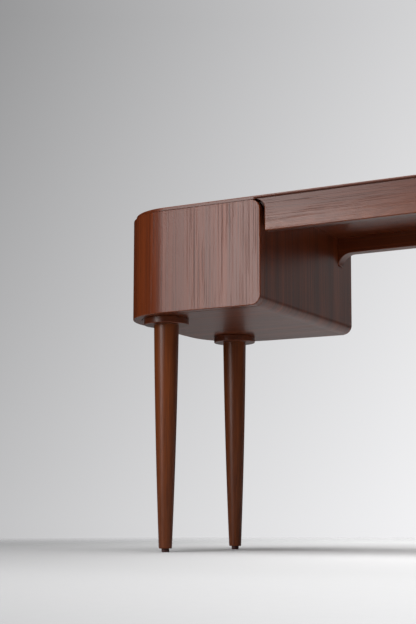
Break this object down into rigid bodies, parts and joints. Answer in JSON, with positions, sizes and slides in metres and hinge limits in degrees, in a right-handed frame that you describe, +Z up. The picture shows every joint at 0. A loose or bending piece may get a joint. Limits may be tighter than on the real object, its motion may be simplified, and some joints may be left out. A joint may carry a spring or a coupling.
{
  "type": "vanity table with mirror",
  "caption": "Wooden vanity table with rounded ends, wrap-front drawers in pods, tapered turned legs on disc collars, and a round tilting mirror on two posts.",
  "frame": {"origin": "on the floor, under the centre of the table", "axes": "+X to the sitter's right along the length, +Y to the back, +Z up; the drawers open towards -Y"},
  "size_m": [1.5, 0.51, 1.108],
  "materials": {
    "veneer": "satin lacquered reddish-brown veneer",
    "turned_wood": "satin lacquered solid hardwood",
    "hidden_wood": "stained hardwood",
    "drawer_wood": "clear lacquered beech plywood",
    "dowel_wood": "raw beech",
    "back_board": "stained plywood",
    "steel": "zinc plated",
    "brass": "satin brass",
    "glide": "dark red-brown nylon",
    "mirror_silver": "silvered glass",
    "felt": "pressed felt"
  },
  "bodies": {
    "table": {"table_top": "veneer", "front_fascia": "veneer", "front_inner_rail": "hidden_wood", "rear_rail": "veneer", "carcass_dowels": "dowel_wood", "fascia_screws": "steel", "left_pod_bottom": "veneer", "left_pod_inner_side": "veneer", "left_pod_end_wall": "veneer", "left_pod_back": "veneer", "right_pod_bottom": "veneer", "right_pod_inner_side": "veneer", "right_pod_end_wall": "veneer", "right_pod_back": "veneer", "left_outer_runner": "steel", "left_inner_runner": "steel", "right_outer_runner": "steel", "right_inner_runner": "steel", "runner_screws": "steel", "front_left_leg": "turned_wood", "rear_left_leg": "turned_wood", "front_right_leg": "turned_wood", "rear_right_leg": "turned_wood", "front_left_collar": "turned_wood", "rear_left_collar": "turned_wood", "front_right_collar": "turned_wood", "rear_right_collar": "turned_wood", "front_left_glide": "glide", "rear_left_glide": "glide", "front_right_glide": "glide", "rear_right_glide": "glide", "leg_bolts": "steel", "leg_inserts": "brass", "left_mirror_post": "turned_wood", "right_mirror_post": "turned_wood", "left_post_foot": "turned_wood", "right_post_foot": "turned_wood", "post_studs": "steel", "friction_washers": "felt"},
    "left_drawer": {"left_drawer_front": "veneer", "left_drawer_outer_side": "drawer_wood", "left_drawer_inner_side": "drawer_wood", "left_drawer_back": "drawer_wood", "left_drawer_bottom": "drawer_wood", "left_drawer_slides": "steel"},
    "right_drawer": {"right_drawer_front": "veneer", "right_drawer_outer_side": "drawer_wood", "right_drawer_inner_side": "drawer_wood", "right_drawer_back": "drawer_wood", "right_drawer_bottom": "drawer_wood", "right_drawer_slides": "steel"},
    "mirror": {"mirror_frame": "turned_wood", "mirror_glass": "mirror_silver", "mirror_back_board": "back_board", "mirror_clips": "brass", "left_pivot_knob": "brass", "right_pivot_knob": "brass", "pivot_inserts": "brass"}
  },
  "joints": [
    {"name": "left_drawer_slide", "type": "slide", "parent": "table", "child": "left_drawer", "axis": [0, -1, 0], "range_m": [0, 0.25]},
    {"name": "right_drawer_slide", "type": "slide", "parent": "table", "child": "right_drawer", "axis": [0, -1, 0], "range_m": [0, 0.25]},
    {"name": "mirror_tilt", "type": "hinge", "parent": "table", "child": "mirror", "pos_m": [0, 0.19, 0.96], "axis": [1, 0, 0], "range_deg": [-25, 25]}
  ]
}
